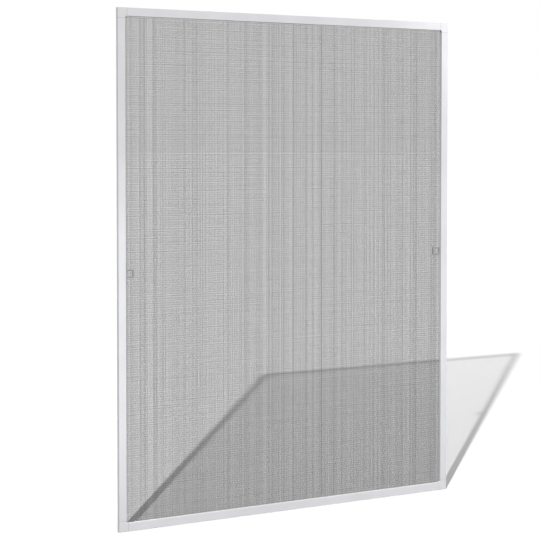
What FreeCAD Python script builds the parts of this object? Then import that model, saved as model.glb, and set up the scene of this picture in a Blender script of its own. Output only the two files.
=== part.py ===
import FreeCAD, Part
import math
import os
import re
import Sketcher
from FreeCAD import Placement, Rotation, Vector

# A fixed insect screen for a window, upright, with its front towards -Y and its foot at Z = 0.
# A piece at the frame's edge is drawn at the left or the top left, with X running in from the outer
# edge and Y running back from the front face, and quarter turns about Y put it on the other sides.

SIZES = {
    # The assembled frame, in millimetres like every length here.
    "frame_width": 1000,
    "frame_height": 1200,
    # The extruded member: a hollow chamber, and beside it a channel that opens at the rear.
    "profile_width": 20,
    "profile_depth": 8,
    "profile_wall": 1.1,
    "channel_width": 4.6,
    "lip_wall": 1.2,
    "bead_height": 0.4,
    "bead_length": 1.2,
    "outer_edge_radius": 0.8,
    "inner_edge_radius": 1.2,
    "rear_edge_radius": 0.4,
    "lip_edge_radius": 0.5,
    # The moulded corner piece: a cap flush with the members, and a ribbed leg inside each of them.
    "bend_radius": 4,
    "cap_corner_radius": 1.5,
    "seam_gap": 0.2,
    "leg_length": 40,
    "leg_relief": 0.5,
    "leg_tip_chamfer": 1.2,
    "rib_clearance": 0.08,
    "rib_width": 1.6,
    "rib_count": 4,
    # The mesh: a border with a hem clamped in the channel, and flat bands that each stand for many threads.
    "mesh_wall": 0.3,
    "band_width": 30,
    "mesh_columns": 10,
    "mesh_rows": 12,
    "seat_clearance": 0.05,
    "rear_clearance": 0.45,
    # The pull tab: a ring in front of the mesh, and a thin tail clamped in the channel with the hem.
    "tab_width": 24,
    "tab_height": 20,
    "tab_thickness": 3,
    "tab_bar": 4,
    "tab_gap": 0.9,
    "tab_clearance": 0.4,
    "tab_corner_radius": 2.5,
    "tab_hole_radius": 1,
    "tab_edge_chamfer": 0.5,
    "tail_width": 12,
    "tail_thickness": 0.3,
    "tail_reach": 4,
    "left_tab_level": 593,
    "right_tab_level": 617,
}

# Places across a member, from its outer edge, and behind its front face.
CHANNEL_IN = "(profile_width - lip_wall)"
CHANNEL_OUT = "(profile_width - lip_wall - channel_width)"
CHAMBER_IN = f"({CHANNEL_OUT} - profile_wall)"
CAP_END = "(profile_width + bend_radius)"
MEMBER_END = f"({CAP_END} + seam_gap)"
STANDOFF = "(2 * seat_clearance + tail_thickness)"
WEFT_REAR = "(profile_depth - rear_clearance)"
WEFT_FRONT = f"({WEFT_REAR} - mesh_wall)"
MESH_REAR = f"({WEFT_REAR} - mesh_wall / 2)"
MESH_FRONT = f"({MESH_REAR} - mesh_wall)"
LIP_DEPTH = f"({MESH_FRONT} - {STANDOFF})"
HEM_IN = f"({CHANNEL_IN} - {STANDOFF})"
HEM_OUT = f"({HEM_IN} - mesh_wall)"
HEM_FLOOR = "(profile_wall + seat_clearance)"
SPLINE_RADIUS = f"(({HEM_OUT} - {CHANNEL_OUT}) / 2 - seat_clearance)"
SPLINE_ACROSS = f"(({HEM_OUT} + {CHANNEL_OUT}) / 2)"
SPLINE_BEHIND = f"({HEM_FLOOR} + mesh_wall + seat_clearance + {SPLINE_RADIUS})"
TAIL_FRONT = f"({LIP_DEPTH} + seat_clearance)"
TAIL_REAR = f"({TAIL_FRONT} + tail_thickness)"
RING_REAR = f"({MESH_FRONT} - tab_clearance)"
RING_FRONT = f"({RING_REAR} - tab_thickness)"

document = FreeCAD.newDocument("window_screen_frame")
sheet = document.addObject("Spreadsheet::Sheet", "Sizes")
for row, (alias, number) in enumerate(SIZES.items(), start=1):
    sheet.set(f"A{row}", alias)
    sheet.set(f"B{row}", str(number))
    sheet.setAlias(f"B{row}", alias)
document.recompute()


def cells(formula):
    """The formula with the name of each size made a reference to its cell."""
    return re.sub(r"[a-z_]+", lambda word: f"Sizes.{word[0]}" if word[0] in SIZES else word[0], formula)


def size(formula):
    return float(sheet.evalExpression(cells(formula)))


def bind(thing, name, formula):
    thing.setExpression(name, cells(formula))


def place(thing, quarter_turns, across, behind, upward):
    """Turn a piece about Y and tie its origin to the frame's sizes."""
    thing.Placement = Placement(Vector(), Rotation(Vector(0, 1, 0), 90 * quarter_turns))
    bind(thing, "Placement.Base.x", across)
    bind(thing, "Placement.Base.y", f"{behind} - profile_depth / 2")
    bind(thing, "Placement.Base.z", upward)


def new_body(label):
    body = document.addObject("PartDesign::Body", label)
    body.Label = label
    return body


def new_sketch(body, role, along_normal="0"):
    """A sketch on one of the body's own planes, moved along that plane's normal."""
    plane = next(feature for feature in body.Origin.OriginFeatures if feature.Role == role)
    sketch = body.newObject("Sketcher::SketchObject", "Sketch")
    sketch.AttachmentSupport = (plane, [""])
    sketch.MapMode = "FlatFace"
    bind(sketch, "AttachmentOffset.Base.z", along_normal)
    return sketch


def tie(sketch, kind, edge, end, formula):
    """Hold a point of an edge at a signed distance from one of the sketch's axes."""
    if formula == "0":
        axis = {"DistanceX": -2, "DistanceY": -1}[kind]
        sketch.addConstraint(Sketcher.Constraint("PointOnObject", edge, end, axis))
    else:
        index = sketch.addConstraint(Sketcher.Constraint(kind, -1, 1, edge, end, size(formula)))
        bind(sketch, f"Constraints[{index}]", formula)


def outline(sketch, corners, rounds=()):
    """Draw a closed outline. An edge in rounds is an arc, anticlockwise about the centre given there."""
    arcs = dict(rounds)
    first = sketch.GeometryCount
    points = [Vector(size(x), size(y), 0) for x, y in corners]
    edges = len(points)
    for edge, start in enumerate(points):
        stop = points[(edge + 1) % edges]
        shape = Part.LineSegment(start, stop)
        if edge in arcs:
            centre = Vector(*(size(formula) for formula in arcs[edge]), 0)
            circle = Part.Circle(centre, Vector(0, 0, 1), (start - centre).Length)
            angles = [math.atan2(p.y - centre.y, p.x - centre.x) for p in (start, stop)]
            shape = Part.ArcOfCircle(circle, *angles)
        sketch.addGeometry(shape)
    for edge, (x, y) in enumerate(corners):
        following = first + (edge + 1) % edges
        sketch.addConstraint(Sketcher.Constraint("Coincident", first + edge, 2, following, 1))
        tie(sketch, "DistanceX", first + edge, 1, x)
        tie(sketch, "DistanceY", first + edge, 1, y)
    for edge, (centre_x, _) in arcs.items():
        tie(sketch, "DistanceX", first + edge, 3, centre_x)


def rectangle(sketch, left, low, right, high):
    outline(sketch, [(left, low), (right, low), (right, high), (left, high)])


def extrude(body, kind, sketch, length, reverse=False, middle=False):
    """A pad or a pocket of a sketch. A pad that is reversed, or a plain pocket, runs against its normal."""
    feature = body.newObject(f"PartDesign::{kind}", kind)
    feature.Profile = sketch
    feature.Reversed = reverse
    feature.Midplane = middle
    bind(feature, "Length", length)
    document.recompute()
    return feature


def repeat(body, feature, axis, pitch, count, reverse=False):
    """Copies of a feature along an axis of its sketch."""
    pattern = body.newObject("PartDesign::LinearPattern", "LinearPattern")
    pattern.Originals = [feature]
    pattern.Direction = (feature.Profile[0], [axis])
    pattern.Reversed = reverse
    bind(pattern, "Occurrences", count)
    bind(pattern, "Length", f"{pitch} * ({count} - 1)")
    body.Tip = pattern
    document.recompute()
    return pattern


def dress(body, kind, amount, chosen):
    """Fillet or chamfer the edges of the body so far whose middle and direction are chosen."""
    base = body.Tip
    names = []
    for number, edge in enumerate(base.Shape.Edges, start=1):
        middle = edge.valueAt((edge.FirstParameter + edge.LastParameter) / 2)
        along = edge.tangentAt((edge.FirstParameter + edge.LastParameter) / 2)
        if chosen(middle, along):
            names.append(f"Edge{number}")
    feature = body.newObject(f"PartDesign::{kind}", kind)
    feature.Base = (base, names)
    bind(feature, {"Fillet": "Radius", "Chamfer": "Size"}[kind], amount)
    document.recompute()
    return feature


def near(value, formula):
    return abs(value - size(formula)) < 1e-4


def member(label, quarter_turns, across, upward, side):
    """One length of the extrusion, cut square, with its ends against the caps of two corner pieces."""
    body = new_body(label)
    section = new_sketch(body, "XY_Plane")
    bead_end = f"({SPLINE_BEHIND} + {SPLINE_RADIUS} + bead_length)"
    outline(
        section,
        [
            ("0", "0"),
            ("profile_width", "0"),
            ("profile_width", LIP_DEPTH),
            (CHANNEL_IN, LIP_DEPTH),
            (CHANNEL_IN, "profile_wall"),
            (CHANNEL_OUT, "profile_wall"),
            (CHANNEL_OUT, f"{bead_end} - bead_length"),
            (f"{CHANNEL_OUT} + bead_height", f"{bead_end} - bead_length / 2"),
            (CHANNEL_OUT, bead_end),
            (CHANNEL_OUT, "profile_depth"),
            ("0", "profile_depth"),
        ],
    )
    rectangle(section, "profile_wall", "profile_wall", CHAMBER_IN, "profile_depth - profile_wall")
    extrude(body, "Pad", section, f"{side} - 2 * {MEMBER_END}", middle=True)
    dress(body, "Fillet", "outer_edge_radius", lambda at, along: near(at.x, "0") and near(at.y, "0"))
    dress(
        body,
        "Fillet",
        "inner_edge_radius",
        lambda at, along: near(at.x, "profile_width") and near(at.y, "0"),
    )
    dress(
        body,
        "Fillet",
        "rear_edge_radius",
        lambda at, along: near(at.y, "profile_depth") and near(abs(along.z), "1"),
    )
    dress(
        body,
        "Fillet",
        "lip_edge_radius",
        lambda at, along: near(at.y, LIP_DEPTH) and near(abs(along.z), "1"),
    )
    place(body, quarter_turns, across, "0", upward)
    return body


def corner_piece(label, quarter_turns, across, upward):
    """The cap that closes a corner, its turn of the channel, and a ribbed leg into each member."""
    body = new_body(label)
    cap = new_sketch(body, "XZ_Plane")
    bend = (CAP_END, f"-{CAP_END}")
    outline(
        cap,
        [
            ("0", "0"),
            (CAP_END, "0"),
            (CAP_END, "-profile_width"),
            ("profile_width", f"-{CAP_END}"),
            ("0", f"-{CAP_END}"),
        ],
        {2: bend},
    )
    extrude(body, "Pad", cap, "profile_depth", reverse=True)
    dress(body, "Fillet", "cap_corner_radius", lambda at, along: near(at.x, "0") and near(at.z, "0"))
    dress(
        body,
        "Fillet",
        "outer_edge_radius",
        lambda at, along: near(at.y, "0") and (near(at.x, "0") or near(at.z, "0")),
    )

    def on_bend(at, radius):
        return near(math.hypot(at.x - size(CAP_END), at.z + size(CAP_END)), radius)

    dress(
        body,
        "Fillet",
        "inner_edge_radius",
        lambda at, along: near(at.y, "0") and on_bend(at, "bend_radius"),
    )

    leg_front = "(profile_wall + leg_relief)"
    leg_in = f"({CHAMBER_IN} - leg_relief)"
    leg_end = f"({CAP_END} + leg_length)"
    legs = new_sketch(body, "XZ_Plane", f"-{leg_front}")
    outline(
        legs,
        [
            (leg_front, f"-{leg_front}"),
            (leg_end, f"-{leg_front}"),
            (leg_end, f"-{leg_in}"),
            (leg_in, f"-{leg_in}"),
            (leg_in, f"-{leg_end}"),
            (leg_front, f"-{leg_end}"),
        ],
    )
    extrude(body, "Pad", legs, f"profile_depth - 2 * {leg_front}", reverse=True)
    dress(
        body,
        "Chamfer",
        "leg_tip_chamfer",
        lambda at, along: near(at.x, leg_end) or near(at.z, f"-{leg_end}"),
    )

    rib_front = "(profile_wall + rib_clearance)"
    rib_in = f"({CHAMBER_IN} - rib_clearance)"
    rib_pitch = "(leg_length / (rib_count + 1))"
    rib_start = f"({CAP_END} + {rib_pitch})"
    rib_stop = f"({rib_start} + rib_width)"
    rib_height = f"profile_depth - 2 * {rib_front}"
    top_rib = new_sketch(body, "XZ_Plane", f"-{rib_front}")
    rectangle(top_rib, rib_start, f"-{rib_in}", rib_stop, f"-{rib_front}")
    top_ribs = extrude(body, "Pad", top_rib, rib_height, reverse=True)
    repeat(body, top_ribs, "H_Axis", rib_pitch, "rib_count")
    side_rib = new_sketch(body, "XZ_Plane", f"-{rib_front}")
    rectangle(side_rib, rib_front, f"-{rib_stop}", rib_in, f"-{rib_start}")
    side_ribs = extrude(body, "Pad", side_rib, rib_height, reverse=True)
    repeat(body, side_ribs, "V_Axis", rib_pitch, "rib_count", reverse=True)

    lip = new_sketch(body, "XZ_Plane", "-profile_depth")
    rectangle(lip, CHANNEL_OUT, f"-{CAP_END}", CAP_END, f"-{CHANNEL_OUT}")
    extrude(body, "Pocket", lip, f"profile_depth - {LIP_DEPTH}", reverse=True)
    channel = new_sketch(body, "XZ_Plane", "-profile_depth")
    outline(
        channel,
        [
            (CHANNEL_OUT, f"-{CHANNEL_OUT}"),
            (CAP_END, f"-{CHANNEL_OUT}"),
            (CAP_END, f"-{CHANNEL_IN}"),
            (CHANNEL_IN, f"-{CAP_END}"),
            (CHANNEL_OUT, f"-{CAP_END}"),
        ],
        {2: bend},
    )
    extrude(body, "Pocket", channel, "profile_depth - profile_wall", reverse=True)
    dress(
        body,
        "Fillet",
        "lip_edge_radius",
        lambda at, along: near(at.y, LIP_DEPTH)
        and (on_bend(at, "bend_radius") or on_bend(at, "bend_radius + lip_wall")),
    )
    place(body, quarter_turns, across, "0", upward)
    return body


def insect_mesh():
    """The sheet: a border with its hem in the channels, bands of warp, and bands of weft fused behind them."""
    body = new_body("insect_mesh")
    half = "frame_width / 2"
    edge = "(profile_width + band_width)"
    border = new_sketch(body, "XZ_Plane", f"-{MESH_FRONT}")
    for inset in (HEM_OUT, edge):
        rectangle(border, f"{inset} - {half}", inset, f"{half} - {inset}", f"frame_height - {inset}")
    extrude(body, "Pad", border, "mesh_wall", reverse=True)

    hem_toe = f"({CHANNEL_OUT} + seat_clearance)"
    hem_section = [
        (HEM_IN, MESH_REAR),
        (HEM_OUT, MESH_REAR),
        (HEM_OUT, f"({HEM_FLOOR} + mesh_wall)"),
        (hem_toe, f"({HEM_FLOOR} + mesh_wall)"),
        (hem_toe, HEM_FLOOR),
        (HEM_IN, HEM_FLOOR),
    ]
    side_hems = new_sketch(body, "XY_Plane", MEMBER_END)
    outline(side_hems, [(f"{across} - {half}", behind) for across, behind in hem_section])
    outline(side_hems, [(f"{half} - {across}", behind) for across, behind in hem_section])
    extrude(body, "Pad", side_hems, f"frame_height - 2 * {MEMBER_END}")
    end_hems = new_sketch(body, "YZ_Plane", f"{MEMBER_END} - {half}")
    outline(end_hems, [(behind, across) for across, behind in hem_section])
    outline(end_hems, [(behind, f"frame_height - {across}") for across, behind in hem_section])
    extrude(body, "Pad", end_hems, f"frame_width - 2 * {MEMBER_END}")

    column_pitch = f"((frame_width - 2 * {edge} + band_width) / mesh_columns)"
    warp_side = f"(profile_width + {column_pitch} - {half})"
    warp = new_sketch(body, "XY_Plane", "profile_width")
    rectangle(warp, warp_side, MESH_FRONT, f"{warp_side} + band_width", MESH_REAR)
    warp_band = extrude(body, "Pad", warp, "frame_height - 2 * profile_width")
    repeat(body, warp_band, "H_Axis", column_pitch, "(mesh_columns - 1)")
    row_pitch = f"((frame_height - 2 * {edge} + band_width) / mesh_rows)"
    weft_side = f"(profile_width + {row_pitch})"
    weft = new_sketch(body, "YZ_Plane", f"profile_width - {half}")
    rectangle(weft, WEFT_FRONT, weft_side, WEFT_REAR, f"{weft_side} + band_width")
    weft_band = extrude(body, "Pad", weft, "frame_width - 2 * profile_width")
    repeat(body, weft_band, "V_Axis", row_pitch, "(mesh_rows - 1)")
    place(body, 0, "0", "0", "0")
    return body


def spline(label, quarter_turns, across, upward, length):
    """A straight length of soft cord, pressed into the channel on top of the hem."""
    cord = document.addObject("Part::Cylinder", label)
    cord.Label = label
    bind(cord, "Radius", SPLINE_RADIUS)
    bind(cord, "Height", length)
    place(cord, quarter_turns, across, SPLINE_BEHIND, upward)
    return cord


def pull_tab(label, quarter_turns, across, upward):
    """A ring to pull the screen out by. Its tail goes over the lip and down beside the hem."""
    body = new_body(label)
    ring_out = "(profile_width + tab_gap)"
    ring_in = f"({ring_out} + tab_width)"
    ring = new_sketch(body, "XZ_Plane", f"-{RING_FRONT}")
    rectangle(ring, ring_out, "-tab_height / 2", ring_in, "tab_height / 2")
    rectangle(
        ring,
        f"{ring_out} + tab_bar",
        "tab_bar - tab_height / 2",
        f"{ring_in} - tab_bar",
        "tab_height / 2 - tab_bar",
    )
    extrude(body, "Pad", ring, "tab_thickness", reverse=True)

    def upright(at, along, level):
        return near(abs(along.y), "1") and near(abs(at.z), level)

    dress(
        body,
        "Fillet",
        "tab_corner_radius",
        lambda at, along: upright(at, along, "tab_height / 2"),
    )
    dress(
        body,
        "Fillet",
        "tab_hole_radius",
        lambda at, along: upright(at, along, "tab_height / 2 - tab_bar"),
    )
    dress(body, "Chamfer", "tab_edge_chamfer", lambda at, along: near(at.y, RING_FRONT))
    tail = new_sketch(body, "XY_Plane")
    root = f"({ring_out} + tab_bar / 4)"
    root_front = f"({RING_REAR} - tab_thickness / 2)"
    tongue_in = f"({CHANNEL_IN} - seat_clearance)"
    tongue_out = f"({tongue_in} - tail_thickness)"
    outline(
        tail,
        [
            (ring_out, root_front),
            (root, root_front),
            (root, TAIL_REAR),
            (tongue_out, TAIL_REAR),
            (tongue_out, f"{TAIL_REAR} - tail_reach"),
            (tongue_in, f"{TAIL_REAR} - tail_reach"),
            (tongue_in, TAIL_FRONT),
            (ring_out, TAIL_FRONT),
        ],
    )
    extrude(body, "Pad", tail, "tail_width", middle=True)
    place(body, quarter_turns, across, "0", upward)
    return body


LEFT = "-frame_width / 2"
RIGHT = "frame_width / 2"
FOOT = "0"
MIDDLE = "frame_height / 2"
TOP = "frame_height"

# The splines at the top and the foot run from corner to corner, and those at the sides lie between.
LONG_END = f"({CHANNEL_OUT} + seat_clearance)"
SHORT_END = f"({SPLINE_ACROSS} + {SPLINE_RADIUS} + seat_clearance)"
LONG_SPLINE = f"frame_width - 2 * {LONG_END}"
SHORT_SPLINE = f"frame_height - 2 * {SHORT_END}"

pieces = [
    member("left_stile", 0, LEFT, MIDDLE, "frame_height"),
    member("top_rail", 1, "0", TOP, "frame_width"),
    member("right_stile", 2, RIGHT, MIDDLE, "frame_height"),
    member("bottom_rail", 3, "0", FOOT, "frame_width"),
    corner_piece("corner_top_left", 0, LEFT, TOP),
    corner_piece("corner_top_right", 1, RIGHT, TOP),
    corner_piece("corner_bottom_right", 2, RIGHT, FOOT),
    corner_piece("corner_bottom_left", 3, LEFT, FOOT),
    insect_mesh(),
    spline("spline_top", 1, f"{LEFT} + {LONG_END}", f"{TOP} - {SPLINE_ACROSS}", LONG_SPLINE),
    spline("spline_bottom", 1, f"{LEFT} + {LONG_END}", SPLINE_ACROSS, LONG_SPLINE),
    spline("spline_left", 0, f"{LEFT} + {SPLINE_ACROSS}", SHORT_END, SHORT_SPLINE),
    spline("spline_right", 0, f"{RIGHT} - {SPLINE_ACROSS}", SHORT_END, SHORT_SPLINE),
    pull_tab("pull_tab_left", 0, LEFT, "left_tab_level"),
    pull_tab("pull_tab_right", 2, RIGHT, "right_tab_level"),
]
document.recompute()

for thing in document.Objects:
    if "Invalid" in thing.State or "Error" in thing.State:
        raise RuntimeError(f"{thing.Label} did not build: {thing.State}")
for piece in pieces:
    if piece.Shape.isNull() or not piece.Shape.isValid() or len(piece.Shape.Solids) != 1:
        raise RuntimeError(f"{piece.Label} is not one sound solid")

os.makedirs("parts", exist_ok=True)
for piece in pieces:
    piece.Shape.exportStep(f"parts/{piece.Label}.step")
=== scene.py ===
import math

import bmesh
import bpy
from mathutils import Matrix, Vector


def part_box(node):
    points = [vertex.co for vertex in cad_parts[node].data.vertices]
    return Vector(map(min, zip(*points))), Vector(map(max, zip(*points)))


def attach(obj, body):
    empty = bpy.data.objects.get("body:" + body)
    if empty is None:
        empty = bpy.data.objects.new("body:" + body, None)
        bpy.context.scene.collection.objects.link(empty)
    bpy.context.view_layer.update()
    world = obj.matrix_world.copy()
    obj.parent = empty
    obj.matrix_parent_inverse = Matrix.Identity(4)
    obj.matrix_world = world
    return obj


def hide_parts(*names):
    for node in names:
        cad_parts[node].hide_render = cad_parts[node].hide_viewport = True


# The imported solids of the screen, in metres: upright, front towards -Y, foot at Z = 0.
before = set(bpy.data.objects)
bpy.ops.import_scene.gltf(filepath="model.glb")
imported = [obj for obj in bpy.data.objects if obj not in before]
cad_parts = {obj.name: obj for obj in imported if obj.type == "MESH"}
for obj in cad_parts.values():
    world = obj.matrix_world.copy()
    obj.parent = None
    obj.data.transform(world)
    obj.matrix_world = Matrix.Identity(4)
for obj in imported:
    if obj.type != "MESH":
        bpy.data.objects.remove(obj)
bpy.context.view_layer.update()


# Rails and stiles: four lengths of one hollow aluminium extrusion, sawn square and pushed onto the legs
# of the corner pieces. They are powder coated white with a cool cast. The coat keeps a fine orange peel
# and the faint lines that the die left along each length. Both ends carry a fine grey line: partly the
# bare sawn edge, and partly painted shade in the seam where the length meets its corner piece.
LACQUER_DEEP = (0.772, 0.772, 0.797, 1)
LACQUER_PALE = (0.812, 0.812, 0.84, 1)
# Grey of the sawn edge together with painted shade in the seam, and the width of that line.
SAWN_EDGE_AND_SEAM_SHADE = (0.58, 0.58, 0.59, 1)
SAWN_EDGE_AND_SEAM_SHADE_WIDTH = 0.0008
DIE_LINE_STRETCH = 0.004
MOTTLE_SPAN = (0.35, 0.65)
GLOSS_SPAN = (0.3, 0.7)


def add_node(tree, kind, inputs=(), **settings):
    """A new node with its settings made, and its inputs joined to sockets or set to plain values."""
    node = tree.nodes.new(kind)
    for name, value in settings.items():
        setattr(node, name, value)
    for key, value in dict(inputs).items():
        if isinstance(value, bpy.types.NodeSocket):
            tree.links.new(value, node.inputs[key])
        else:
            node.inputs[key].default_value = value
    return node


def reckon(tree, operation, *values):
    """The result of one Math node on sockets or plain values."""
    node = add_node(tree, "ShaderNodeMath", dict(enumerate(values)), operation=operation)
    return node.outputs["Value"]


def draw_out(tree, place, factors):
    """A place multiplied by a factor for each axis, which draws a noise out along the small ones."""
    node = add_node(tree, "ShaderNodeVectorMath", {0: place, 1: factors}, operation="MULTIPLY")
    return node.outputs["Vector"]


def spread(tree, value, low, high, from_low=0.0, from_high=1.0):
    """A value carried over from one range to another, and kept within it."""
    span = {"Value": value, "From Min": from_low, "From Max": from_high, "To Min": low, "To Max": high}
    return add_node(tree, "ShaderNodeMapRange", span).outputs["Result"]


def build_surface_grain():
    """Shader group for a coated or moulded surface: slow mottling, fine grain, and lines along one axis."""
    group = bpy.data.node_groups.new("surface_grain", "ShaderNodeTree")
    for name in ("Mottle Size", "Grain Size", "Line Size"):
        group.interface.new_socket(name, in_out="INPUT", socket_type="NodeSocketFloat")
    group.interface.new_socket("Line Stretch", in_out="INPUT", socket_type="NodeSocketVector")
    for name in ("Mottle", "Grain", "Line"):
        group.interface.new_socket(name, in_out="OUTPUT", socket_type="NodeSocketFloat")
    given = add_node(group, "NodeGroupInput").outputs
    result = add_node(group, "NodeGroupOutput")
    place = add_node(group, "ShaderNodeTexCoord").outputs["Object"]
    drawn_out = draw_out(group, place, given["Line Stretch"])
    for name, where in (("Mottle", place), ("Grain", place), ("Line", drawn_out)):
        scale = reckon(group, "DIVIDE", 1.0, given[f"{name} Size"])
        noise = add_node(group, "ShaderNodeTexNoise", {"Vector": where, "Scale": scale})
        group.links.new(noise.outputs["Fac"], result.inputs[name])
    return group


surface_grain = build_surface_grain()


def make_finish(name, colours, roughness, bump, grain_inputs):
    """A finish mottled between two colours, with lines in its gloss and its grain as bump."""
    material = bpy.data.materials.new(name)
    material.use_nodes = True
    tree = material.node_tree
    grain = add_node(tree, "ShaderNodeGroup", grain_inputs, node_tree=surface_grain)
    mottle = add_node(tree, "ShaderNodeValToRGB", {"Fac": grain.outputs["Mottle"]})
    for element, colour, position in zip(mottle.color_ramp.elements, colours, MOTTLE_SPAN):
        element.color = colour
        element.position = position
    gloss = spread(tree, grain.outputs["Line"], *roughness, *GLOSS_SPAN)
    relief = add_node(tree, "ShaderNodeBump", {"Height": grain.outputs["Grain"], **bump})
    shader = tree.nodes["Principled BSDF"]
    tree.links.new(mottle.outputs["Color"], shader.inputs["Base Color"])
    tree.links.new(gloss, shader.inputs["Roughness"])
    tree.links.new(relief.outputs["Normal"], shader.inputs["Normal"])
    return material


def paint_sawn_edge_and_seam_shade(material, axis, low, high):
    """Paint a fine grey line at both ends of a lacquered length: bare sawn edge and painted seam shade."""
    tree = material.node_tree
    colour = tree.nodes["Principled BSDF"].inputs["Base Color"]
    place = add_node(tree, "ShaderNodeTexCoord").outputs["Object"]
    along = add_node(tree, "ShaderNodeSeparateXYZ", {"Vector": place}).outputs[axis]
    reach = reckon(tree, "ABSOLUTE", reckon(tree, "SUBTRACT", along, (low + high) / 2))
    at_end = reckon(tree, "GREATER_THAN", reach, (high - low) / 2 - SAWN_EDGE_AND_SEAM_SHADE_WIDTH)
    lacquer = colour.links[0].from_socket
    # The grey at the ends is partly the sawn metal and partly painted shade in the seam.
    edged_and_shaded = add_node(tree, "ShaderNodeMixRGB", {"Fac": at_end, "Color1": lacquer, "Color2": SAWN_EDGE_AND_SEAM_SHADE})
    tree.links.new(edged_and_shaded.outputs["Color"], colour)


def dress(node, material):
    """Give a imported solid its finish, in place of the plain one that it came with."""
    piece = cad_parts[node]
    piece.data.materials.clear()
    piece.data.materials.append(material)


for name, axis, stretch, members in (
    ("rail_lacquer", 0, (DIE_LINE_STRETCH, 1, 1), ("top_rail", "bottom_rail")),
    ("stile_lacquer", 2, (1, 1, DIE_LINE_STRETCH), ("left_stile", "right_stile")),
):
    lacquer = make_finish(
        name,
        (LACQUER_DEEP, LACQUER_PALE),
        roughness=(0.34, 0.46),
        bump={"Strength": 0.12, "Distance": 0.0002},
        grain_inputs={
            "Mottle Size": 0.09,
            "Grain Size": 0.0022,
            "Line Size": 0.0009,
            "Line Stretch": stretch,
        },
    )
    low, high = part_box(members[0])
    # Both ends get the grey line of sawn edge and painted seam shade.
    paint_sawn_edge_and_seam_shade(lacquer, axis, low[axis], high[axis])
    for member in members:
        dress(member, lacquer)


# Corner pieces: moulded in white plastic, warmer than the lacquer beside them. Each has a ribbed leg
# pressed into a rail and another into a stile, and its cap stays in view with a fine seam at both ends.
CORNER_DEEP = (0.775, 0.775, 0.788, 1)
CORNER_PALE = (0.815, 0.815, 0.829, 1)
NO_STRETCH = (1, 1, 1)

corner_plastic = make_finish(
    "corner_plastic",
    (CORNER_DEEP, CORNER_PALE),
    roughness=(0.42, 0.52),
    bump={"Strength": 0.25, "Distance": 0.0001},
    grain_inputs={
        "Mottle Size": 0.02,
        "Grain Size": 0.0006,
        "Line Size": 0.004,
        "Line Stretch": NO_STRETCH,
    },
)
for corner in ("corner_top_left", "corner_top_right", "corner_bottom_left", "corner_bottom_right"):
    dress(corner, corner_plastic)


# Pull tabs: small square rings moulded in grey plastic, one at each side. A thin tail goes over the lip
# of the stile and is clamped in the channel with the mesh.
TAB_DEEP = (0.31, 0.31, 0.315, 1)
TAB_PALE = (0.36, 0.36, 0.365, 1)

tab_plastic = make_finish(
    "tab_plastic",
    (TAB_DEEP, TAB_PALE),
    roughness=(0.45, 0.55),
    bump={"Strength": 0.25, "Distance": 0.0001},
    grain_inputs={
        "Mottle Size": 0.008,
        "Grain Size": 0.0005,
        "Line Size": 0.003,
        "Line Stretch": NO_STRETCH,
    },
)
for tab in ("pull_tab_left", "pull_tab_right"):
    dress(tab, tab_plastic)


# Insect mesh: one sheet woven from glass fibre yarn coated with charcoal PVC, which fuses the threads
# where they cross. Its edges fold over the lip of each member and down into the channel beside it. Pairs
# of threads differ in girth, the weft's by turns, which shows as fine lines, and one warp thread is a slub.
WARP_PITCH = 0.0012
WEFT_PITCH = 0.0013
YARN_RADIUS = 0.000233
YARN_SIDES = 3
YARN_WANDER = 0.0002
YARN_THIN_GREY, YARN_FULL_GREY = 0.11, 0.02
YARN_COOLNESS = 1.03
SWING_SPAN = 0.25
FLANGE_INSET = 0.004
HEM_INSET = 0.00015
SHEET_DROP = 0.0003
FIRST_THREAD = 0.0045
FOLD_ROUNDING = 0.0004
CROSSING_SHARE = 0.6
FRONT, REAR = -1, 1


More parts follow.
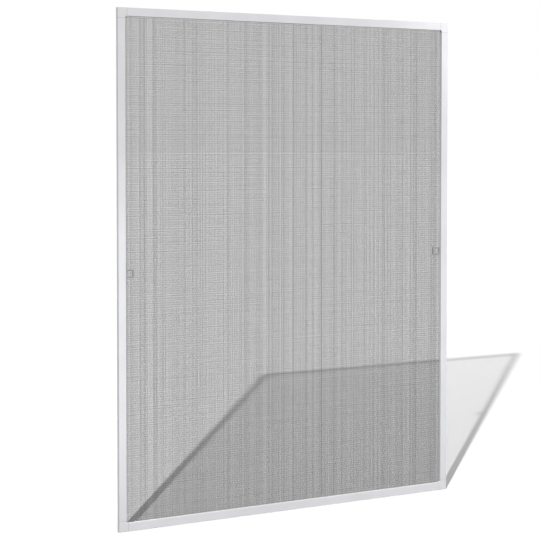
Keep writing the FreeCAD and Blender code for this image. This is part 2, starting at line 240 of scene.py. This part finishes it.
def build_woven_threads():
    """Geometry tree that repeats one thread's path across the sheet, with drift in girth and place."""
    tree = bpy.data.node_groups.new("woven_threads", "GeometryNodeTree")
    for name, kind in (
        ("Thread", "NodeSocketGeometry"),
        ("Count", "NodeSocketInt"),
        ("Pitch", "NodeSocketVector"),
        ("Radius", "NodeSocketFloat"),
        ("Sides", "NodeSocketInt"),
        ("Threads Alike", "NodeSocketInt"),
        ("Uneven Girth", "NodeSocketFloat"),
        ("Swing Back", "NodeSocketFloat"),
        ("Alternation", "NodeSocketFloat"),
        ("Slub Thread", "NodeSocketInt"),
        ("Slub Girth", "NodeSocketFloat"),
        ("Drift Depth", "NodeSocketFloat"),
        ("Drift Frequency", "NodeSocketVector"),
        ("Wander", "NodeSocketFloat"),
        ("Seed", "NodeSocketInt"),
        ("Yarn", "NodeSocketMaterial"),
    ):
        tree.interface.new_socket(name, in_out="INPUT", socket_type=kind)
    tree.interface.new_socket("Weave", in_out="OUTPUT", socket_type="NodeSocketGeometry")
    given = add_node(tree, "NodeGroupInput").outputs

    def work_out(operation, *values):
        return reckon(tree, operation, *values)

    def chance_of(alike):
        """A fixed random number from -0.5 to 0.5 for one lot of threads that are alike."""
        draw = add_node(
            tree,
            "FunctionNodeRandomValue",
            {"ID": alike, "Seed": given["Seed"]},
            data_type="FLOAT",
        )
        return work_out("SUBTRACT", draw.outputs[1], 0.5)

    row = add_node(tree, "GeometryNodeMeshLine", {"Count": given["Count"], "Offset": given["Pitch"]})
    path = add_node(tree, "GeometryNodeMeshToCurve", {"Mesh": given["Thread"]})
    threads = add_node(
        tree,
        "GeometryNodeInstanceOnPoints",
        {"Points": row.outputs["Mesh"], "Instance": path.outputs["Curve"]},
    )
    number = add_node(tree, "GeometryNodeInputIndex").outputs["Index"]
    lot = work_out("FLOOR", work_out("DIVIDE", number, given["Threads Alike"]))
    last_lot = work_out("MULTIPLY", chance_of(work_out("SUBTRACT", lot, 1.0)), given["Swing Back"])
    off_average = work_out("SUBTRACT", chance_of(lot), last_lot)
    turn = work_out("SUBTRACT", work_out("MODULO", lot, 2.0), 0.5)
    regular = work_out("MULTIPLY_ADD", turn, given["Alternation"], 1.0)
    uneven = work_out("MULTIPLY_ADD", off_average, given["Uneven Girth"], regular)
    is_slub = work_out("COMPARE", number, given["Slub Thread"], 0.5)
    slub = work_out("MULTIPLY_ADD", is_slub, work_out("SUBTRACT", given["Slub Girth"], 1.0), 1.0)
    marked = add_node(
        tree,
        "GeometryNodeStoreNamedAttribute",
        {
            "Geometry": threads.outputs["Instances"],
            "Name": "girth",
            "Value": work_out("MULTIPLY", uneven, slub),
        },
        domain="INSTANCE",
    )
    laid = add_node(tree, "GeometryNodeRealizeInstances", {"Geometry": marked.outputs["Geometry"]})

    place = add_node(tree, "GeometryNodeInputPosition").outputs["Position"]
    drawn_out = draw_out(tree, place, given["Drift Frequency"])
    noise = add_node(tree, "ShaderNodeTexNoise", {"Vector": drawn_out, "Scale": 1.0, "Detail": 2.0})
    swing = work_out("SUBTRACT", noise.outputs["Fac"], 0.5)
    sideways = add_node(tree, "ShaderNodeVectorMath", {0: given["Pitch"]}, operation="NORMALIZE")
    drift = add_node(
        tree,
        "ShaderNodeVectorMath",
        {0: sideways.outputs["Vector"], "Scale": work_out("MULTIPLY", swing, given["Wander"])},
        operation="SCALE",
    )
    moved = add_node(
        tree,
        "GeometryNodeSetPosition",
        {"Geometry": laid.outputs["Geometry"], "Offset": drift.outputs["Vector"]},
    )
    toned = add_node(
        tree,
        "GeometryNodeStoreNamedAttribute",
        {"Geometry": moved.outputs["Geometry"], "Name": "swing", "Value": swing},
    )
    girth = add_node(tree, "GeometryNodeInputNamedAttribute", {"Name": "girth"}, data_type="FLOAT")
    swelling = work_out("MULTIPLY_ADD", swing, given["Drift Depth"], 1.0)
    section = add_node(
        tree,
        "GeometryNodeCurvePrimitiveCircle",
        {"Resolution": given["Sides"], "Radius": given["Radius"]},
    )
    spun = add_node(
        tree,
        "GeometryNodeCurveToMesh",
        {
            "Curve": toned.outputs["Geometry"],
            "Profile Curve": section.outputs["Curve"],
            "Scale": work_out("MULTIPLY", girth.outputs["Attribute"], swelling),
            "Fill Caps": True,
        },
    )
    whole = add_node(tree, "GeometryNodeRealizeInstances", {"Geometry": spun.outputs["Mesh"]})
    dyed = add_node(
        tree,
        "GeometryNodeSetMaterial",
        {"Geometry": whole.outputs["Geometry"], "Material": given["Yarn"]},
    )
    add_node(tree, "NodeGroupOutput", {"Weave": dyed.outputs["Geometry"]})
    return tree


def make_yarn():
    """Charcoal PVC coat with a fine speckle, paler where the yarn runs thin and the glass shows through."""
    material = bpy.data.materials.new("charcoal_yarn")
    material.use_nodes = True
    tree = material.node_tree
    swing = add_node(tree, "ShaderNodeAttribute", attribute_name="swing").outputs["Fac"]
    coat = spread(tree, swing, 0.0, 1.0, -SWING_SPAN, SWING_SPAN)
    ramp = add_node(tree, "ShaderNodeValToRGB", {"Fac": coat})
    for element, grey in zip(ramp.color_ramp.elements, (YARN_THIN_GREY, YARN_FULL_GREY)):
        element.color = (grey, grey, grey * YARN_COOLNESS, 1)
    grain_inputs = {"Mottle Size": 0.03, "Grain Size": 0.0006, "Line Size": 0.01}
    grain = add_node(tree, "ShaderNodeGroup", grain_inputs, node_tree=surface_grain)
    relief = add_node(
        tree,
        "ShaderNodeBump",
        {"Height": grain.outputs["Grain"], "Strength": 0.3, "Distance": 0.00005},
    )
    shader = tree.nodes["Principled BSDF"]
    shader.inputs["Roughness"].default_value = 0.5
    tree.links.new(ramp.outputs["Color"], shader.inputs["Base Color"])
    tree.links.new(relief.outputs["Normal"], shader.inputs["Normal"])
    return material


def set_inputs(modifier, values):
    """Set a tree's named inputs, which a modifier knows by their sockets' identifiers."""
    for item in modifier.node_group.interface.items_tree:
        if item.item_type == "SOCKET" and item.in_out == "INPUT" and item.name in values:
            modifier[item.identifier] = values[item.name]


def settle(piece):
    """Turn what an object's modifiers make into its own plain mesh."""
    bpy.context.view_layer.update()
    made = piece.evaluated_get(bpy.context.evaluated_depsgraph_get())
    mesh = bpy.data.meshes.new_from_object(made)
    piece.modifiers.clear()
    piece.data = mesh


def thread_path(name, axis, level, steps):
    """The first thread of a set, from hem to hem, as a line of edges at a level behind the front."""
    across = mesh_low[axis] + FIRST_THREAD
    lengthwise = 2 - axis
    low, high = mesh_low[lengthwise], mesh_high[lengthwise]
    fold_low, fold_high = low + FLANGE_INSET, high - FLANGE_INSET
    foot = mesh_low.y + HEM_INSET
    straight_low, straight_high = fold_low + FOLD_ROUNDING, fold_high - FOLD_ROUNDING
    route = [(low + HEM_INSET, foot), (fold_low, foot), (fold_low, level - FOLD_ROUNDING)]
    for step in range(steps + 1):
        route.append((straight_low + (straight_high - straight_low) * step / steps, level))
    route += [(fold_high, level - FOLD_ROUNDING), (fold_high, foot), (high - HEM_INSET, foot)]
    mesh = bpy.data.meshes.new(name)
    points = [(across, y, along) if axis == 0 else (along, y, across) for along, y in route]
    mesh.from_pydata(points, [(i, i + 1) for i in range(len(points) - 1)], [])
    thread = bpy.data.objects.new(name, mesh)
    bpy.context.scene.collection.objects.link(thread)
    return thread


def weave_set(name, axis, pitch, side, steps, inputs):
    """Weave one set of parallel threads into the sheet, on the side of it that faces front or rear."""
    thread = thread_path(name, axis, sheet_level + side * YARN_RADIUS * CROSSING_SHARE, steps)
    weaver = thread.modifiers.new("weave", "NODES")
    weaver.node_group = woven_threads
    width = mesh_high[axis] - mesh_low[axis] - 2 * FIRST_THREAD
    to_next = [0.0, 0.0, 0.0]
    to_next[axis] = pitch
    set_inputs(
        weaver,
        {
            "Count": int(width / pitch) + 1,
            "Pitch": to_next,
            "Radius": YARN_RADIUS,
            "Sides": YARN_SIDES,
            "Wander": YARN_WANDER,
            "Yarn": yarn,
            **inputs,
        },
    )
    settle(thread)
    weave.from_mesh(thread.data)
    bpy.data.objects.remove(thread)


mesh_low, mesh_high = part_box("insect_mesh")
sheet_level = mesh_high.y - SHEET_DROP
woven_threads = build_woven_threads()
yarn = make_yarn()
weave = bmesh.new()
weave_set(
    "warp",
    axis=0,
    pitch=WARP_PITCH,
    side=FRONT,
    steps=3,
    inputs={
        "Threads Alike": 2,
        "Uneven Girth": 0.42,
        "Swing Back": 0.0,
        "Alternation": 0.0,
        "Slub Thread": 480,
        "Slub Girth": 1.9,
        "Drift Depth": 0.4,
        "Drift Frequency": (200, 0, 0.3),
        "Seed": 3,
    },
)
weave_set(
    "weft",
    axis=2,
    pitch=WEFT_PITCH,
    side=REAR,
    steps=22,
    inputs={
        "Threads Alike": 2,
        "Uneven Girth": 0.22,
        "Swing Back": 1.0,
        "Alternation": 0.55,
        "Slub Thread": -1,
        "Slub Girth": 1.0,
        "Drift Depth": 0.2,
        "Drift Frequency": (5, 0, 300),
        "Seed": 8,
    },
)
mesh_data = bpy.data.meshes.new("mesh_cloth")
weave.to_mesh(mesh_data)
weave.free()
mesh_data.materials.append(yarn)
mesh_cloth = bpy.data.objects.new("mesh_cloth", mesh_data)
bpy.context.scene.collection.objects.link(mesh_cloth)
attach(mesh_cloth, "root")
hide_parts("insect_mesh")


# Spline: soft PVC cord with ribs along it, rolled into the channel on top of the mesh's hem. The ribs
# bite into the hem and keep the sheet stretched. One length lies at each side of the frame.
SPLINE_RIBS = 14
RIB_DEPTH = 0.0002
SPLINE_DEEP = (0.16, 0.16, 0.165, 1)
SPLINE_PALE = (0.22, 0.22, 0.225, 1)


def build_ribbed_cord():
    """Geometry tree for a straight cord with a ribbed section, between two points."""
    tree = bpy.data.node_groups.new("ribbed_cord", "GeometryNodeTree")
    for name, kind in (
        ("Line", "NodeSocketGeometry"),
        ("Ribs", "NodeSocketInt"),
        ("Radius", "NodeSocketFloat"),
        ("Rib Depth", "NodeSocketFloat"),
        ("Finish", "NodeSocketMaterial"),
    ):
        tree.interface.new_socket(name, in_out="INPUT", socket_type=kind)
    tree.interface.new_socket("Cord", in_out="OUTPUT", socket_type="NodeSocketGeometry")
    given = add_node(tree, "NodeGroupInput").outputs
    core_radius = reckon(tree, "SUBTRACT", given["Radius"], given["Rib Depth"])
    section = add_node(
        tree,
        "GeometryNodeCurveStar",
        {"Points": given["Ribs"], "Outer Radius": given["Radius"], "Inner Radius": core_radius},
    )
    path = add_node(tree, "GeometryNodeMeshToCurve", {"Mesh": given["Line"]})
    body = add_node(
        tree,
        "GeometryNodeCurveToMesh",
        {"Curve": path.outputs["Curve"], "Profile Curve": section.outputs["Curve"], "Fill Caps": True},
    )
    whole = add_node(tree, "GeometryNodeRealizeInstances", {"Geometry": body.outputs["Mesh"]})
    cord = add_node(
        tree,
        "GeometryNodeSetMaterial",
        {"Geometry": whole.outputs["Geometry"], "Material": given["Finish"]},
    )
    add_node(tree, "NodeGroupOutput", {"Cord": cord.outputs["Geometry"]})
    return tree


ribbed_cord = build_ribbed_cord()
spline_pvc = make_finish(
    "spline_pvc",
    (SPLINE_DEEP, SPLINE_PALE),
    roughness=(0.5, 0.65),
    bump={"Strength": 0.3, "Distance": 0.0001},
    grain_inputs={
        "Mottle Size": 0.03,
        "Grain Size": 0.0008,
        "Line Size": 0.01,
        "Line Stretch": NO_STRETCH,
    },
)
for node, axis in (("spline_top", 0), ("spline_bottom", 0), ("spline_left", 2), ("spline_right", 2)):
    low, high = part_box(node)
    start = (low + high) / 2
    stop = start.copy()
    start[axis], stop[axis] = low[axis], high[axis]
    line = bpy.data.meshes.new(node)
    line.from_pydata([start, stop], [(0, 1)], [])
    cord = bpy.data.objects.new(f"{node}_cord", line)
    bpy.context.scene.collection.objects.link(cord)
    roller = cord.modifiers.new("ribs", "NODES")
    roller.node_group = ribbed_cord
    set_inputs(
        roller,
        {
            "Ribs": SPLINE_RIBS,
            "Radius": (high.y - low.y) / 2,
            "Rib Depth": RIB_DEPTH,
            "Finish": spline_pvc,
        },
    )
    settle(cord)
    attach(cord, "root")
    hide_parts(node)


# Floor and surround: plain white. The shadow lamps light the floor, and seen from the camera a glow makes
# up what their light lacks with distance, so that all of the floor outside the shadow is white.
FLOOR_SIZE = 600
FLOOR_GREY = 0.2
FLOOR_BOUNCE = 0.05
SURROUND_FRONT, SURROUND_REAR = 0.55, 0.4
WHITE_LEVEL = 1.03
SHADOW_LAMP = Vector((-6.47, -6.51, 4.43))
SHADOW_DEPTH = 6.5


def seen_directly(tree):
    """1 on rays from the camera, a mirror or glass, and 0 on rays that only carry light."""
    path = add_node(tree, "ShaderNodeLightPath").outputs
    either = reckon(tree, "MAXIMUM", path["Is Camera Ray"], path["Is Glossy Ray"])
    return reckon(tree, "MAXIMUM", either, path["Is Transmission Ray"])


floor_mesh = bpy.data.meshes.new("floor")
edge = FLOOR_SIZE / 2
floor_corners = [(-edge, -edge, 0), (edge, -edge, 0), (edge, edge, 0), (-edge, edge, 0)]
floor_mesh.from_pydata(floor_corners, [], [(0, 1, 2, 3)])
floor = bpy.data.objects.new("floor", floor_mesh)
bpy.context.scene.collection.objects.link(floor)
floor_paint = bpy.data.materials.new("floor_paint")
floor_paint.use_nodes = True
tree = floor_paint.node_tree
tree.nodes.remove(tree.nodes["Principled BSDF"])
shade = spread(tree, seen_directly(tree), FLOOR_BOUNCE, FLOOR_GREY)
matt = add_node(tree, "ShaderNodeBsdfDiffuse", {"Color": shade})
place = add_node(tree, "ShaderNodeTexCoord").outputs["Object"]
away = add_node(tree, "ShaderNodeVectorMath", {0: place, 1: SHADOW_LAMP}, operation="DISTANCE")
lamp_share = reckon(tree, "DIVIDE", SHADOW_DEPTH, away.outputs["Value"])
surround_share = FLOOR_GREY * (SURROUND_FRONT + SURROUND_REAR) / 2
lacking = reckon(tree, "SUBTRACT", WHITE_LEVEL - surround_share, lamp_share)
strength = reckon(tree, "MULTIPLY", seen_directly(tree), lacking)
glow = add_node(tree, "ShaderNodeEmission", {"Strength": strength})
both = add_node(tree, "ShaderNodeAddShader", {0: matt.outputs["BSDF"], 1: glow.outputs["Emission"]})
tree.links.new(both.outputs["Shader"], tree.nodes["Material Output"].inputs["Surface"])
floor_mesh.materials.append(floor_paint)

world = bpy.data.worlds.new("surround")
bpy.context.scene.world = world
world.use_nodes = True
tree = world.node_tree
toward = add_node(tree, "ShaderNodeTexCoord").outputs["Generated"]
toward = add_node(tree, "ShaderNodeSeparateXYZ", {"Vector": toward}).outputs["Y"]
lit = spread(tree, toward, SURROUND_FRONT, SURROUND_REAR, from_low=-1.0)
level = spread(tree, seen_directly(tree), lit, 1.0)
background = tree.nodes["Background"]
background.inputs["Color"].default_value = (1, 1, 1, 1)
tree.links.new(level, background.inputs["Strength"])


# Lamps: a pair at the front left lays the shadow on the floor and lights nothing else. The mesh hides one
# of them and not the other, so its own shadow stays pale. A broad soft lamp lights the front and another
# the rear, and three small ones lift a corner and the middles of the stiles.
MESH_SHADE = 0.68
SHADOW_SOFTNESS = 0.06
SCREEN_MIDDLE = (0, 0, 0.6)
BROAD = {"angle": math.radians(25)}
SMALL = {"shadow_soft_size": 0.05}


def add_lamp(name, kind, place, aim, power, **settings):
    """A lamp that points from its place to its aim. The camera doesn't see the lamp itself."""
    data = bpy.data.lights.new(name, kind)
    data.energy = power
    for setting, value in settings.items():
        setattr(data, setting, value)
    lamp = bpy.data.objects.new(name, data)
    lamp.location = place
    lamp.rotation_euler = (Vector(aim) - Vector(place)).to_track_quat("-Z", "Y").to_euler()
    lamp.visible_camera = False
    bpy.context.scene.collection.objects.link(lamp)
    return lamp


def all_but(name, piece):
    """A collection for light linking that takes in everything except one piece."""
    rest = bpy.data.collections.new(name)
    rest.objects.link(piece)
    rest.collection_objects[0].light_linking.link_state = "EXCLUDE"
    return rest


def cone(degrees):
    """Settings of a spot that fades evenly from its middle to the edge of its cone."""
    return {"spot_size": math.radians(degrees), "spot_blend": 1.0, "shadow_soft_size": 0.1}


only_floor = bpy.data.collections.new("only_floor")
only_floor.objects.link(floor)
# A lamp without falloff lights a matt floor by its power times the floor's grey and the lamp's height over
# its distance, divided by (2 pi) squared. This power makes that SHADOW_DEPTH over the distance.
full_power = SHADOW_DEPTH / SHADOW_LAMP.z * (2 * math.pi) ** 2 / FLOOR_GREY
for name, share, hidden_by in (
    ("shadow_lamp", MESH_SHADE, None),
    ("frame_shadow_lamp", 1 - MESH_SHADE, all_but("all_but_mesh", mesh_cloth)),
):
    power = full_power * share
    lamp = add_lamp(name, "POINT", SHADOW_LAMP, SCREEN_MIDDLE, power, shadow_soft_size=SHADOW_SOFTNESS)
    lamp.data.use_nodes = True
    tree = lamp.data.node_tree
    even = add_node(tree, "ShaderNodeLightFalloff", {"Strength": 1.0})
    tree.links.new(even.outputs["Constant"], tree.nodes["Emission"].inputs["Strength"])
    lamp.light_linking.receiver_collection = only_floor
    lamp.light_linking.blocker_collection = hidden_by

# The floor hides none of these lamps, since half of the level rear lamp's disc lies below it.
all_but_floor = all_but("all_but_floor", floor)
for name, kind, place, aim, power, settings in (
    ("front_lamp", "SUN", (-1.8, -4.0, 5.9), SCREEN_MIDDLE, 2.59, BROAD),
    ("rear_lamp", "SUN", (2.0, 5.0, 0.6), SCREEN_MIDDLE, 2.1, BROAD),
    ("corner_lamp", "POINT", (0.54, -0.26, 1.18), (0.5, 0, 1.18), 0.92, SMALL),
    ("left_stile_spot", "SPOT", (-0.2, -3.2, 1.2), (-0.5, 0, 0.48), 92, cone(15.5)),
    ("right_stile_spot", "SPOT", (-0.6, -3.2, 1.2), (0.5, 0, 0.45), 62, cone(18)),
):
    lamp = add_lamp(name, kind, place, aim, power, **settings)
    lamp.visible_glossy = kind == "SUN"
    lamp.light_linking.receiver_collection = all_but_floor
    lamp.light_linking.blocker_collection = all_but_floor


# Camera: a long lens at the front left, a little above the middle of the screen, looking slightly down.
CAMERA_TILT = math.radians(2.381)
CAMERA_TURN = math.radians(36.9)

camera_data = bpy.data.cameras.new("camera")
camera_data.lens = 136.059
camera_data.sensor_width = 36
camera_data.shift_y = -0.07
camera = bpy.data.objects.new("camera", camera_data)
camera.location = (-3.0104, -3.9215, 0.8818)
camera.rotation_euler = (math.pi / 2 - CAMERA_TILT, 0, -CAMERA_TURN)
bpy.context.scene.collection.objects.link(camera)
bpy.context.scene.camera = camera
bpy.context.scene.view_settings.view_transform = "Standard"
